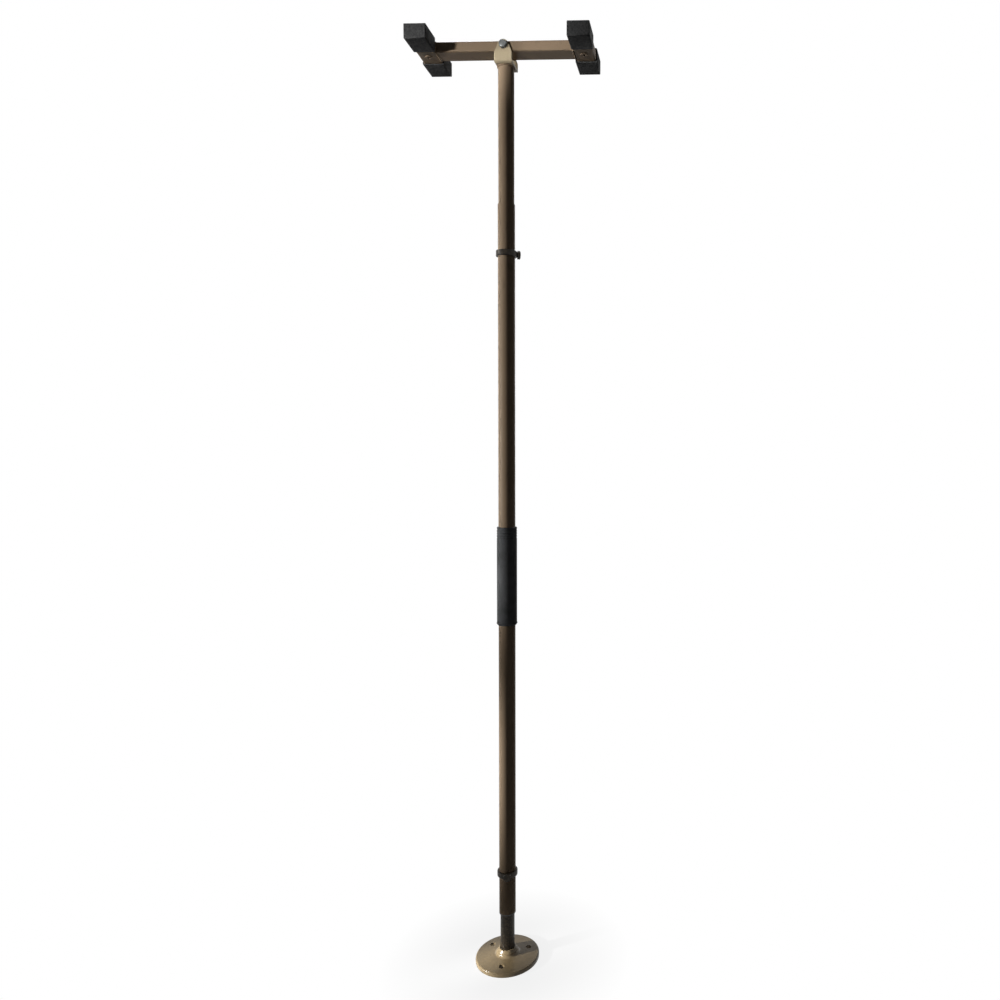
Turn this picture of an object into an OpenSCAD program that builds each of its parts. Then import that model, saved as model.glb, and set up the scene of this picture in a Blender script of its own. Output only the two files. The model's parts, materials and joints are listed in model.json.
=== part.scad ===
// Transfer pole: a floor-to-ceiling grab pole, wedged in place by a screw jack in its foot.
// Millimetres. The origin is on the floor at the pole's axis, +Z up, +X along the ceiling bar.

/* [Overall] */
// Height from the floor to the ceiling
overall_height = 2438.4; // [2140:0.1:2960]
// Corner rounding of round-edged rings and lips
edge_round = 2; // [1:0.1:2.5]

/* [Floor base] */
// Diameter of the floor flange
base_d = 172; // [155:1:190]
// Height of the flange's rim
base_rim_t = 11; // [9:0.5:13]
// Rise of the flange's cone from the rim to the hub
base_crown_rise = 4.5; // [2:0.5:6]
// Rounding of the rim's upper edge
base_round = 4; // [2:0.1:6]
// Thickness of the rubber floor pad
floor_pad_t = 4; // [3:0.5:5]
// How far the floor pad stands out below the flange
floor_pad_proud = 1.5; // [1:0.1:2]
// Width of the flange's lip round the floor pad
base_lip = 5; // [4:0.5:8]
// Depth of the grooves under the floor pad
pad_groove_depth = 1.5; // [1:0.1:2]
// Width of the grooves under the floor pad
pad_groove_w = 4; // [2:0.5:5]
// Number of grooves under the floor pad
pad_groove_count = 3; // [1:1:3]
// Diameter of the hub at its top
hub_top_d = 46.5; // [45:0.5:52]
// Diameter of the hub at its root, before the fillet
hub_root_d = 54; // [52:0.5:60]
// Height of the hub above the floor pad
hub_h = 30; // [28:0.5:40]
// Fillet between the hub and the flange
hub_fillet = 9; // [5:0.5:10]
// Depth of the socket in the hub
socket_depth = 21; // [18:0.5:22]
// Gap between the socket's wall and the foot
socket_gap = 1.2; // [0.6:0.1:1.4]
// Screw circle of the floor holes
floor_pcd = 118; // [108:1:130]
// Diameter of the floor screw holes
floor_hole_d = 7.2; // [5:0.1:8]
// Diameter of the countersink at the top of a floor hole
floor_sink_d = 14.4; // [12:0.1:16]
// Number of floor holes
floor_hole_count = 3; // [3:1:4]
// Direction of the first floor hole
floor_hole_angle = -92; // [-180:1:180]

/* [Jack] */
// Diameter of the jack stud's thread
stud_d = 20; // [16:0.5:22]
// Height of the jack stud's top above the floor
stud_top = 126; // [120:1:150]
// Diameter of the stud's end that is set in the flange
stud_spigot_d = 15; // [10:0.5:15.5]
// Outside diameter of the foot tube
foot_d = 38.1; // [37:0.1:38.4]
// Wall of the foot tube
foot_wall = 2; // [1.5:0.1:2.5]
// Height of the foot tube's top above the floor
foot_top = 290; // [260:1:320]
// Height of the plated band of the jack nut
nut_band_h = 46; // [40:0.5:52]
// Length of the jack nut inside the foot tube
nut_spigot_h = 27; // [20:0.5:35]
// Thickness of the thrust plug's head
plug_head_t = 4; // [3:0.5:6]
// Length of the thrust plug inside the foot tube
plug_spigot_h = 22; // [15:0.5:30]
// Thickness of the thrust washer
thrust_washer_t = 3; // [2:0.5:5]
// Height of the load ring in the main pole
load_ring_h = 15; // [10:0.5:20]
// Bore of the load ring
load_ring_bore = 22; // [16:0.5:26]

/* [Main pole] */
// Outside diameter of the main pole
main_d = 44.45; // [44:0.05:45.5]
// Wall of the main pole
main_wall = 1.5; // [1.4:0.05:1.6]
// Height of the main pole's bottom end above the floor
main_bottom = 135; // [122:1:142]
// Height of the joint between the two lengths
splice_z = 952; // [942:1:957]
// Height of the main pole's top end
main_top = 2034; // [1990:1:2060]
// Length of the splice spigot below the joint
spigot_below = 80; // [60:1:120]
// Length of the splice spigot above the joint
spigot_above = 58; // [50:1:58]
// Wall of the splice spigot
spigot_wall = 2.5; // [2:0.1:3.5]
// Height of the splice screws above the joint
splice_screw_rise = 30; // [25:1:35]
// Diameter of a splice screw
splice_screw_d = 5; // [4:0.5:6]
// Diameter of a splice screw's head
splice_head_d = 9; // [8:0.5:10]
// Height of a splice screw's head
splice_head_h = 1.4; // [1:0.1:1.6]
// Length of the guide bush in the bottom of the pole
bush_h = 60; // [40:1:80]
// Thickness of the guide bush's lip
bush_lip_t = 3; // [2:0.5:5]

/* [Grip] */
// Height of the grip's bottom above the floor
grip_bottom = 934; // [912:1:937]
// Length of the grip
grip_h = 263; // [200:1:300]
// Outside diameter of the grip
grip_d = 52.9; // [50:0.1:58]
// How far the bottom lip stands out of the grip
grip_lip_proud = 1.1; // [0.5:0.1:2]
// Height of the bottom lip
grip_lip_h = 9; // [6:0.5:12]
// Number of ring grooves at the grip's top
grip_groove_count = 4; // [2:1:6]
// Spacing of the ring grooves
grip_groove_pitch = 7; // [5:0.5:9]
// Radius of a ring groove
grip_groove_r = 1.3; // [0.8:0.1:1.6]
// Depth of the room for the screw heads inside the grip
grip_relief = 2.1; // [1.9:0.1:2.4]

/* [Lock collars] */
// Outside diameter of a collar
collar_d = 54.6; // [53:0.1:57]
// Height of a collar
collar_h = 15; // [13:0.5:20]
// Height of the lower collar's middle above the floor
lower_collar_z = 246; // [220:1:260]
// Height of the upper collar's middle above the floor
upper_collar_z = 1909; // [1880:1:1950]
// Direction that the lower lock screw points
lower_lock_angle = -78; // [-180:1:180]
// Direction that the upper lock screw points
upper_lock_angle = 22; // [-180:1:180]
// Diameter of a lock screw's thread
lock_d = 10; // [8:0.5:11]
// Width of a lock screw's head across its flats
lock_head_af = 19; // [16:0.5:21]
// Height of a lock screw's head
lock_head_h = 8; // [6:0.1:10]
// Diameter of the soft pad on a lock screw's tip
lock_pad_d = 8; // [6:0.1:9]
// Thickness of the soft pad
lock_pad_t = 1.6; // [1.2:0.1:2]
// Diameter of the pad's stem in the screw
lock_stem_d = 4; // [3:0.1:5]
// Length of the pad's stem
lock_stem_h = 4; // [3:0.1:5]

/* [Upper tube] */
// Outside diameter of the upper tube
upper_d = 40.8; // [39:0.05:40.9]
// Wall of the upper tube
upper_wall = 1.8; // [1.2:0.1:2.5]
// Length of the upper tube
upper_len = 1060; // [980:1:1090]
// Thickness of the guide plug's head at its lower end
guide_head_t = 4; // [3:0.5:6]
// Length of the guide plug inside the tube
guide_spigot_h = 25; // [15:1:40]

/* [Ceiling head] */
// Depth of the ceiling bar and width of the cross tubes
bar_depth = 50.8; // [45:0.1:55]
// Height of the ceiling bar and the cross tubes
bar_h = 25.4; // [22:0.1:28]
// Wall of the ceiling bar and the cross tubes
bar_wall = 2; // [1.5:0.1:3]
// Corner radius of the ceiling bar and the cross tubes
bar_corner = 4; // [2.5:0.1:6]
// Distance between the middles of the cross tubes
cross_spacing = 402; // [360:1:460]
// Length of a cross tube
cross_len = 190; // [170:1:230]
// Length of tube that the two caps leave bare
cross_bare = 66; // [55:1:80]
// Wall of a rubber cap at its sides
cap_wall = 2.8; // [2:0.1:5]
// Thickness of a rubber cap above the tube, where it presses on the ceiling
cap_top_t = 7.5; // [5:0.1:10]
// Thickness of a rubber cap under the tube
cap_bottom_t = 4; // [3:0.1:6]
// Thickness of a rubber cap's end
cap_end_t = 6; // [4:0.1:8]
// Edge rounding of a rubber cap
cap_round = 4; // [3:0.1:5]
// Diameter of a ceiling screw hole
ceiling_hole_d = 8; // [5:0.1:9]
// Outside diameter of a ceiling screw bush
bush_d = 12; // [11:0.1:14]
// Diameter of the bush's flange
bush_flange_d = 17; // [15:0.1:20]
// Thickness of the bush's flange
bush_flange_t = 1.5; // [1:0.1:2]

/* [Top bracket] */
// Thickness of the bracket's plate
bracket_t = 5; // [4:0.1:6]
// Width of the bracket across its ears
bracket_w = 46.6; // [42:0.1:52]
// Radius of the ears round the pivot bolt
ear_r = 13.5; // [12:0.1:16]
// Height of the ears' straight sides
ear_side_h = 22; // [18:0.5:24]
// Rounding of the bracket's lower corners
ear_foot_r = 2.8; // [1:0.1:5]
// Rounding of the bracket's upright edges
ear_edge_r = 3; // [2:0.1:4]
// Height of the pivot above the bracket's underside
pivot_rise = 42; // [40:0.5:50]
// Inside radius of the bracket's bends
bend_r = 3; // [2:0.1:5]
// Thickness of a spacer between the bar and an ear
spacer_t = 1.4; // [1:0.1:2]
// Outside diameter of a spacer
spacer_d = 22; // [18:0.5:25]
// Diameter of the pivot bolt
bolt_d = 10; // [8:0.5:12]
// Width of the pivot bolt's head across its flats
bolt_head_af = 17; // [15:0.5:19]
// Height of the pivot bolt's head
bolt_head_h = 6.4; // [5:0.1:8]
// Height of the pivot nut
nut_h = 9.5; // [8:0.1:12]
// Length of bolt that stands out of the nut
bolt_end = 3; // [1:0.5:5]
// Outside diameter of a pivot washer
washer_d = 20; // [18:0.5:22]
// Thickness of a pivot washer
washer_t = 2; // [1:0.1:3]
// Wall of the pivot sleeve in the bar
sleeve_wall = 2.5; // [2:0.1:3.5]

/* [Hidden] */
$fn = 96;
// Clearance between two pieces that move past each other
move_gap = 0.3;
// Radial clearance of the pivot bolt in its sleeve
run_gap = 0.08;
// Clearance between two pieces that are fitted together
fit_gap = 0.05;
// Overrun of a cut past the surface
over = 1;
// How far a corner bevel goes in from a hex head's corners, of its width across flats
hex_bevel_share = 0.05;
// Distance of the first ring groove from the grip's top, in groove spacings
groove_start_share = 1;
// Where the grooves under the floor pad lie, of the pad's radius
pad_groove_shares = [0.34, 0.54, 0.88];

bronze = [0.55, 0.46, 0.36];
cast_bronze = [0.68, 0.6, 0.48];
plated = [0.72, 0.73, 0.75];
black = [0.1, 0.1, 0.1];
nylon = [0.85, 0.84, 0.8];
rubber = [0.22, 0.22, 0.22];
brass = [0.72, 0.58, 0.3];

main_in_d = main_d - 2 * main_wall;
foot_in_d = foot_d - 2 * foot_wall;
upper_in_d = upper_d - 2 * upper_wall;

// Heights of the floor base and the jack
hub_top = floor_pad_t + hub_h;
socket_floor = hub_top - socket_depth;
rim_top = floor_pad_proud + base_rim_t;
crown_top = rim_top + base_crown_rise;
pad_r = base_d / 2 - base_lip;
nut_bottom = socket_floor + move_gap;
band_top = nut_bottom + nut_band_h;
plug_top = foot_top + plug_head_t;
washer_bottom = plug_top + move_gap;
load_ring_bottom = washer_bottom + thrust_washer_t;
fitted_d = main_in_d - 2 * fit_gap;

// Heights of the ceiling head, from the ceiling down
bar_z = overall_height - cap_top_t - bar_h / 2;
bracket_z = bar_z - pivot_rise;
upper_bottom = bracket_z - upper_len;
cross_x = cross_spacing / 2;
bar_len = cross_spacing - bar_depth;
cap_w = bar_depth + 2 * cap_wall;
cap_h = bar_h + cap_top_t + cap_bottom_t;
cap_len = (cross_len - cross_bare) / 2 + cap_end_t;
ear_in = bar_depth / 2 + spacer_t + 2 * fit_gap;
ear_out = ear_in + bracket_t;
washer_out = ear_out + washer_t;
sleeve_in_d = bolt_d + 2 * run_gap;
sleeve_d = sleeve_in_d + 2 * sleeve_wall;

// Distances of the lock screws from the pole's axis
collar_r = collar_d / 2;
lock_head_in = collar_r + move_gap;
lower_tip = foot_d / 2 + move_gap;
upper_tip = upper_d / 2 + move_gap;

// A round tube that stands on its end
module round_tube(outer, inner, h) {
    difference() {
        cylinder(d = outer, h = h);
        translate([0, 0, -over]) cylinder(d = inner, h = h + 2 * over);
    }
}

// A rectangle with round corners, centred
module round_rect(w, h, r) {
    square([w - 2 * r, h], center = true);
    square([w, h - 2 * r], center = true);
    for (x = [-1, 1], y = [-1, 1])
        translate([x * (w / 2 - r), y * (h / 2 - r)]) circle(r = r);
}

// A rectangular tube with round corners, standing on its end
module rect_tube(w, h, len) {
    linear_extrude(len) difference() {
        round_rect(w, h, bar_corner);
        round_rect(w - 2 * bar_wall, h - 2 * bar_wall, bar_corner - bar_wall);
    }
}

// A hex head that stands on its flat side, with its top corners bevelled
module hex_head(af, h) {
    corner_d = af / cos(30);
    bevel = af * hex_bevel_share;
    intersection() {
        cylinder(d = corner_d, h = h, $fn = 6);
        union() {
            cylinder(d = corner_d + bevel, h = h - bevel);
            translate([0, 0, h - bevel]) cylinder(d1 = corner_d + bevel, d2 = af, h = bevel);
        }
    }
}

// Lays a piece that stands on +Z along a level line out of the pole's axis
module pointing(angle, z) {
    translate([0, 0, z]) rotate([0, 90, angle]) children();
}

// Places for the floor screws
module floor_places() {
    for (i = [0 : floor_hole_count - 1])
        rotate(floor_hole_angle + i * 360 / floor_hole_count)
            translate([floor_pcd / 2, 0, 0])
                children();
}

module floor_pad() {
    color(rubber) difference() {
        cylinder(r = pad_r, h = floor_pad_t);
        for (i = [0 : pad_groove_count - 1])
            translate([0, 0, -over]) round_tube(
                2 * pad_groove_shares[i] * pad_r + pad_groove_w,
                2 * pad_groove_shares[i] * pad_r - pad_groove_w,
                pad_groove_depth + over
            );
        floor_places() translate([0, 0, -over])
            cylinder(d = floor_hole_d, h = floor_pad_t + 2 * over);
    }
}

// Half section of the flange and its hub, with a round rim and a fillet at the hub's root
module base_section() {
    base_r = base_d / 2;
    fillet_r = hub_root_d / 2 + hub_fillet;
    polygon([
        [0, floor_pad_proud],
        [base_r, floor_pad_proud],
        [base_r, rim_top - base_round],
        [base_r - base_round, rim_top],
        [fillet_r, crown_top],
        [0, crown_top]
    ]);
    translate([base_r - base_round, rim_top - base_round]) circle(r = base_round, $fn = 48);
    polygon([
        [0, floor_pad_t],
        [hub_root_d / 2, floor_pad_t],
        [hub_root_d / 2, crown_top + hub_fillet],
        [hub_top_d / 2, hub_top - edge_round],
        [hub_top_d / 2 - edge_round, hub_top - edge_round],
        [hub_top_d / 2 - edge_round, hub_top],
        [0, hub_top]
    ]);
    translate([hub_top_d / 2 - edge_round, hub_top - edge_round]) circle(r = edge_round, $fn = 48);
    difference() {
        translate([0, floor_pad_t]) square([fillet_r, crown_top + hub_fillet - floor_pad_t]);
        translate([fillet_r, crown_top + hub_fillet]) circle(r = hub_fillet, $fn = 48);
    }
}

module base_plate() {
    sink_h = (floor_sink_d - floor_hole_d) / 2;
    color(cast_bronze) difference() {
        rotate_extrude() base_section();
        cylinder(r = pad_r + fit_gap, h = floor_pad_t);
        translate([0, 0, socket_floor])
            cylinder(d = foot_d + 2 * socket_gap, h = socket_depth + over);
        cylinder(d = stud_spigot_d, h = socket_floor + over);
        floor_places() {
            cylinder(d = floor_hole_d, h = hub_top);
            translate([0, 0, rim_top - sink_h])
                cylinder(d1 = floor_hole_d, d2 = floor_sink_d, h = sink_h);
            translate([0, 0, rim_top]) cylinder(d = floor_sink_d, h = hub_h);
        }
    }
}

module jack_stud() {
    color(plated) {
        translate([0, 0, socket_floor]) cylinder(d = stud_d, h = stud_top - socket_floor - edge_round);
        translate([0, 0, stud_top - edge_round])
            cylinder(d1 = stud_d, d2 = stud_d - 2 * edge_round, h = edge_round);
        translate([0, 0, floor_pad_t])
            cylinder(d = stud_spigot_d - 2 * fit_gap, h = socket_floor - floor_pad_t);
    }
}

module foot_tube() {
    color(black) translate([0, 0, band_top]) round_tube(foot_d, foot_in_d, foot_top - band_top);
}

module jack_nut() {
    color(black) difference() {
        translate([0, 0, nut_bottom]) {
            cylinder(d = foot_d, h = nut_band_h);
            cylinder(d = foot_in_d - 2 * fit_gap, h = nut_band_h + nut_spigot_h);
        }
        cylinder(d = stud_d + 2 * move_gap, h = foot_top);
    }
}

module thrust_plug() {
    color(plated) {
        translate([0, 0, foot_top]) cylinder(d = foot_d, h = plug_head_t);
        translate([0, 0, foot_top - plug_spigot_h])
            cylinder(d = foot_in_d - 2 * fit_gap, h = plug_spigot_h);
    }
}

module lower_tube() {
    color(bronze) difference() {
        translate([0, 0, main_bottom]) round_tube(main_d, main_in_d, splice_z - main_bottom);
        pointing(lower_lock_angle, lower_collar_z) cylinder(d = lock_d + 2 * move_gap, h = main_d);
    }
}

module middle_tube() {
    color(bronze) difference() {
        translate([0, 0, splice_z]) round_tube(main_d, main_in_d, main_top - splice_z);
        pointing(upper_lock_angle, upper_collar_z) cylinder(d = lock_d + 2 * move_gap, h = main_d);
        splice_holes(splice_screw_d + 2 * fit_gap);
    }
}

// The two opposite holes of the splice screws
module splice_holes(d) {
    for (angle = [0, 180])
        pointing(angle, splice_z + splice_screw_rise) cylinder(d = d, h = main_d);
}

module splice_spigot() {
    color(plated) difference() {
        translate([0, 0, splice_z - spigot_below])
            round_tube(fitted_d, fitted_d - 2 * spigot_wall, spigot_below + spigot_above);
        splice_holes(splice_screw_d + 2 * fit_gap);
    }
}

module splice_screws() {
    shank_in = fitted_d / 2 - spigot_wall;
    head_in = main_d / 2 + fit_gap;
    color(plated) for (angle = [0, 180])
        pointing(angle, splice_z + splice_screw_rise) {
            translate([0, 0, shank_in]) cylinder(d = splice_screw_d, h = head_in - shank_in);
            translate([0, 0, head_in])
                cylinder(d1 = splice_head_d, d2 = splice_head_d - 2 * splice_head_h, h = splice_head_h);
        }
}

// Half section of the grip: a sleeve with ring grooves at its top and a lip at its bottom
module grip_section() {
    bore_r = main_d / 2 + fit_gap;
    out_r = grip_d / 2;
    lip_r = out_r + grip_lip_proud;
    screw_z = splice_z + splice_screw_rise;
    difference() {
        union() {
            translate([bore_r, grip_bottom]) square([out_r - bore_r - edge_round, grip_h]);
            translate([bore_r, grip_bottom + grip_lip_h])
                square([out_r - bore_r, grip_h - grip_lip_h - edge_round]);
            translate([out_r - edge_round, grip_bottom + grip_h - edge_round])
                circle(r = edge_round, $fn = 48);
            polygon([
                [bore_r, grip_bottom],
                [out_r - edge_round, grip_bottom],
                [lip_r, grip_bottom + grip_lip_h / 2],
                [out_r, grip_bottom + grip_lip_h],
                [bore_r, grip_bottom + grip_lip_h]
            ]);
        }
        for (i = [0 : grip_groove_count - 1])
            translate([out_r, grip_bottom + grip_h - (groove_start_share + i) * grip_groove_pitch])
                circle(r = grip_groove_r, $fn = 32);
        translate([bore_r - over, screw_z - splice_head_d / 2 - fit_gap])
            square([grip_relief + over, splice_head_d + 2 * fit_gap]);
    }
}

module grip() {
    color(black) rotate_extrude() grip_section();
}

// Half section of a collar with round edges
module collar_section() {
    in_r = main_d / 2 + fit_gap;
    translate([in_r, -collar_h / 2]) square([collar_r - in_r - edge_round, collar_h]);
    translate([in_r, edge_round - collar_h / 2]) square([collar_r - in_r, collar_h - 2 * edge_round]);
    for (z = [-1, 1])
        translate([collar_r - edge_round, z * (collar_h / 2 - edge_round)])
            circle(r = edge_round, $fn = 48);
}

module lock_collar(angle, z) {
    color(black) difference() {
        translate([0, 0, z]) rotate_extrude() collar_section();
        pointing(angle, z) cylinder(d = lock_d + 2 * move_gap, h = collar_d);
    }
}

module lower_collar() {
    lock_collar(lower_lock_angle, lower_collar_z);
}

module upper_collar() {
    lock_collar(upper_lock_angle, upper_collar_z);
}

module foot_guide_bush() {
    bore = foot_d + 2 * move_gap;
    color(nylon) {
        translate([0, 0, main_bottom]) round_tube(fitted_d, bore, bush_h);
        translate([0, 0, main_bottom - bush_lip_t]) round_tube(main_d, bore, bush_lip_t);
    }
}

module load_ring() {
    color(plated) translate([0, 0, load_ring_bottom]) round_tube(fitted_d, load_ring_bore, load_ring_h);
}

module thrust_washer() {
    color(brass) translate([0, 0, washer_bottom]) round_tube(foot_d, load_ring_bore, thrust_washer_t);
}

// A soft disc on a short stem, laid against the tube inside the pole
module lock_pad(angle, z, tip) {
    color(nylon) pointing(angle, z) translate([0, 0, tip]) {
        cylinder(d = lock_pad_d, h = lock_pad_t);
        cylinder(d = lock_stem_d, h = lock_pad_t + lock_stem_h);
    }
}

// A hex screw through a collar, drilled at its tip for the pad's stem
module lock_screw(angle, z, tip) {
    shank_in = tip + lock_pad_t;
    color(black) pointing(angle, z) {
        difference() {
            translate([0, 0, shank_in]) cylinder(d = lock_d, h = lock_head_in - shank_in);
            translate([0, 0, shank_in - over])
                cylinder(d = lock_stem_d + 2 * run_gap, h = lock_stem_h + over + fit_gap);
        }
        translate([0, 0, lock_head_in]) hex_head(lock_head_af, lock_head_h);
    }
}

module lower_lock_pad() {
    lock_pad(lower_lock_angle, lower_collar_z, lower_tip);
}

module lower_lock_screw() {
    lock_screw(lower_lock_angle, lower_collar_z, lower_tip);
}

module upper_lock_pad() {
    lock_pad(upper_lock_angle, upper_collar_z, upper_tip);
}

module upper_lock_screw() {
    lock_screw(upper_lock_angle, upper_collar_z, upper_tip);
}

module upper_tube() {
    color(bronze) translate([0, 0, upper_bottom]) round_tube(upper_d, upper_in_d, upper_len);
}

module upper_tube_guide() {
    guide_in_d = upper_in_d - 2 * fit_gap;
    color(nylon) {
        translate([0, 0, upper_bottom - guide_head_t]) cylinder(d = upper_d, h = guide_head_t);
        translate([0, 0, upper_bottom]) cylinder(d = guide_in_d, h = guide_spigot_h);
    }
}

// Side view of the bracket: a flat plate bent up into two ears, drawn as depth by height
module bracket_bend() {
    out_r = bend_r + bracket_t;
    top = pivot_rise + ear_r;
    difference() {
        union() {
            translate([-ear_out, out_r]) square([2 * ear_out, top - out_r]);
            translate([out_r - ear_out, 0]) square([2 * (ear_out - out_r), top]);
            for (y = [-1, 1])
                translate([y * (ear_out - out_r), out_r]) circle(r = out_r, $fn = 64);
        }
        translate([-ear_in, out_r]) square([2 * ear_in, top]);
        translate([bend_r - ear_in, bracket_t]) square([2 * (ear_in - bend_r), top]);
        for (y = [-1, 1])
            translate([y * (ear_in - bend_r), out_r]) circle(r = bend_r, $fn = 64);
    }
}

// Front view of an ear: rounded foot, straight sides, then drawn in to a round top about the pivot
module ear_outline() {
    half = bracket_w / 2;
    rise = pivot_rise - ear_side_h;
    reach = sqrt(half * half + rise * rise);
    lean = acos(ear_r / reach) - atan2(rise, half);
    touch = [ear_r * cos(lean), pivot_rise + ear_r * sin(lean)];
    polygon([
        [ear_foot_r - half, 0],
        [half - ear_foot_r, 0],
        [half, ear_foot_r],
        [half, ear_side_h],
        touch,
        [-touch[0], touch[1]],
        [-half, ear_side_h],
        [-half, ear_foot_r]
    ]);
    for (x = [ear_foot_r - half, half - ear_foot_r])
        translate([x, ear_foot_r]) circle(r = ear_foot_r, $fn = 48);
    translate([0, pivot_rise]) circle(r = ear_r);
}

module top_bracket() {
    color(cast_bronze) translate([0, 0, bracket_z]) difference() {
        intersection() {
            rotate([90, 0, 90]) translate([0, 0, -bracket_w / 2]) linear_extrude(bracket_w) bracket_bend();
            rotate([90, 0, 0]) translate([0, 0, -ear_out]) linear_extrude(2 * ear_out) ear_outline();
            linear_extrude(pivot_rise + ear_r) round_rect(bracket_w, 2 * ear_out, ear_edge_r);
        }
        translate([0, 0, pivot_rise]) rotate([90, 0, 0])
            cylinder(d = bolt_d + 2 * fit_gap, h = 4 * ear_out, center = true);
    }
}

// Lays a piece that stands on +Z along the pivot, from the front to the rear
module along_pivot(y) {
    translate([0, y, bar_z]) rotate([-90, 0, 0]) children();
}

module pivot_bolt() {
    color(plated) {
        along_pivot(-washer_out) cylinder(d = bolt_d, h = 2 * washer_out + nut_h + bolt_end);
        along_pivot(-washer_out) mirror([0, 0, 1]) hex_head(bolt_head_af, bolt_head_h);
    }
}

module pivot_nut() {
    color(plated) along_pivot(washer_out) difference() {
        hex_head(bolt_head_af, nut_h);
        translate([0, 0, -over]) cylinder(d = bolt_d + 2 * fit_gap, h = nut_h + 2 * over);
    }
}

module pivot_washers() {
    color(plated) for (y = [-washer_out, ear_out])
        along_pivot(y) round_tube(washer_d, bolt_d + 2 * fit_gap, washer_t);
}

module bar_spacers() {
    color(nylon) for (y = [-ear_in, ear_in - spacer_t])
        along_pivot(y) round_tube(spacer_d, bolt_d + 2 * fit_gap, spacer_t);
}

module ceiling_bar() {
    color(bronze) difference() {
        translate([-bar_len / 2, 0, bar_z]) rotate([90, 0, 90]) rect_tube(bar_depth, bar_h, bar_len);
        along_pivot(-bar_depth) cylinder(d = sleeve_d + 2 * fit_gap, h = 2 * bar_depth);
    }
}

module pivot_sleeve() {
    color(plated) along_pivot(-bar_depth / 2) round_tube(sleeve_d, sleeve_in_d, bar_depth);
}

module cross_tube(x) {
    color(bronze) difference() {
        translate([x, cross_len / 2, bar_z]) rotate([90, 0, 0]) rect_tube(bar_depth, bar_h, cross_len);
        translate([x, 0, bar_z]) cylinder(d = bush_d + 2 * fit_gap, h = 2 * bar_h, center = true);
    }
}

module left_cross_tube() {
    cross_tube(-cross_x);
}

module right_cross_tube() {
    cross_tube(cross_x);
}

// A rubber cap over one end of a cross tube. side is -1 at the front and 1 at the rear
module end_cap(x, side) {
    outer_y = cross_len / 2 + cap_end_t;
    hole_len = cap_len - cap_end_t;
    color(rubber) translate([x, side * (outer_y - cap_len / 2), bar_z]) difference() {
        translate([0, 0, (cap_top_t - cap_bottom_t) / 2]) intersection() {
            rotate([90, 0, 0]) linear_extrude(cap_len, center = true) round_rect(cap_w, cap_h, cap_round);
            linear_extrude(cap_h, center = true) translate([0, -side * cap_round])
                round_rect(cap_w, cap_len + 2 * cap_round, cap_round);
            rotate([90, 0, 90]) linear_extrude(cap_w, center = true) translate([-side * cap_round, 0])
                round_rect(cap_len + 2 * cap_round, cap_h, cap_round);
        }
        translate([0, -side * (cap_end_t + over) / 2, 0]) rotate([90, 0, 0])
            linear_extrude(hole_len + over, center = true)
                round_rect(bar_depth + 2 * fit_gap, bar_h + 2 * fit_gap, bar_corner);
    }
}

module left_front_cap() {
    end_cap(-cross_x, -1);
}

module left_rear_cap() {
    end_cap(-cross_x, 1);
}

module right_front_cap() {
    end_cap(cross_x, -1);
}

module right_rear_cap() {
    end_cap(cross_x, 1);
}

module ceiling_screw_bushes() {
    color(bronze) for (x = [-cross_x, cross_x])
        translate([x, 0, bar_z - bar_h / 2]) {
            round_tube(bush_d, ceiling_hole_d, bar_h);
            translate([0, 0, -bush_flange_t]) round_tube(bush_flange_d, ceiling_hole_d, bush_flange_t);
        }
}

floor_pad();
base_plate();
jack_stud();
foot_tube();
jack_nut();
thrust_plug();
lower_tube();
middle_tube();
splice_spigot();
splice_screws();
grip();
lower_collar();
upper_collar();
foot_guide_bush();
load_ring();
thrust_washer();
lower_lock_pad();
lower_lock_screw();
upper_lock_pad();
upper_lock_screw();
upper_tube();
upper_tube_guide();
top_bracket();
pivot_bolt();
pivot_nut();
pivot_washers();
bar_spacers();
ceiling_bar();
pivot_sleeve();
left_cross_tube();
right_cross_tube();
left_front_cap();
left_rear_cap();
right_front_cap();
right_rear_cap();
ceiling_screw_bushes();
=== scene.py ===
import json
import math

import bpy
import bmesh
from mathutils import Matrix, Vector


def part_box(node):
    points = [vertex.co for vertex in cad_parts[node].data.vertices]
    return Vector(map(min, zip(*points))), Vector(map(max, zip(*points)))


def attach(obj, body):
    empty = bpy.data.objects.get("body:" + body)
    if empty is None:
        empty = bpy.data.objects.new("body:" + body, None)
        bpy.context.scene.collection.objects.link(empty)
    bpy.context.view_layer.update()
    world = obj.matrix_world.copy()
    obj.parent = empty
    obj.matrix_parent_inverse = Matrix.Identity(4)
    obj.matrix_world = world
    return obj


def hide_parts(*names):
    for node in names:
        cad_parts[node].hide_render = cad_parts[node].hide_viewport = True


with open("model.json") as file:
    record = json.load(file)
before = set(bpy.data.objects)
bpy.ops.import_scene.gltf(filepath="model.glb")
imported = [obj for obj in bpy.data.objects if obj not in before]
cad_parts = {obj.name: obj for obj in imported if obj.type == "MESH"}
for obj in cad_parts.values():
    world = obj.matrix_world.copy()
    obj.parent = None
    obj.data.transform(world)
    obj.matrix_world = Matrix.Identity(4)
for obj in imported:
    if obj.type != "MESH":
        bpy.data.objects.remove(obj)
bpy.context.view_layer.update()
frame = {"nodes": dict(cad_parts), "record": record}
nodes = frame["nodes"]
record = frame["record"]
scene = bpy.context.scene
print("frame loaded:", len(nodes), "nodes")


# Camera, as the photograph was taken: at breast height, a little right of the pole
cameraView = {
    "place": (0.5205, -2.034, 1.4155),
    "yaw": -3.155,  # degrees, as pitch and roll are
    "pitch": -3.945,
    "roll": -0.684,
    "lens": 28.0,
    "sensor": 36.0,
    "shiftX": -0.1605,
}


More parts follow.
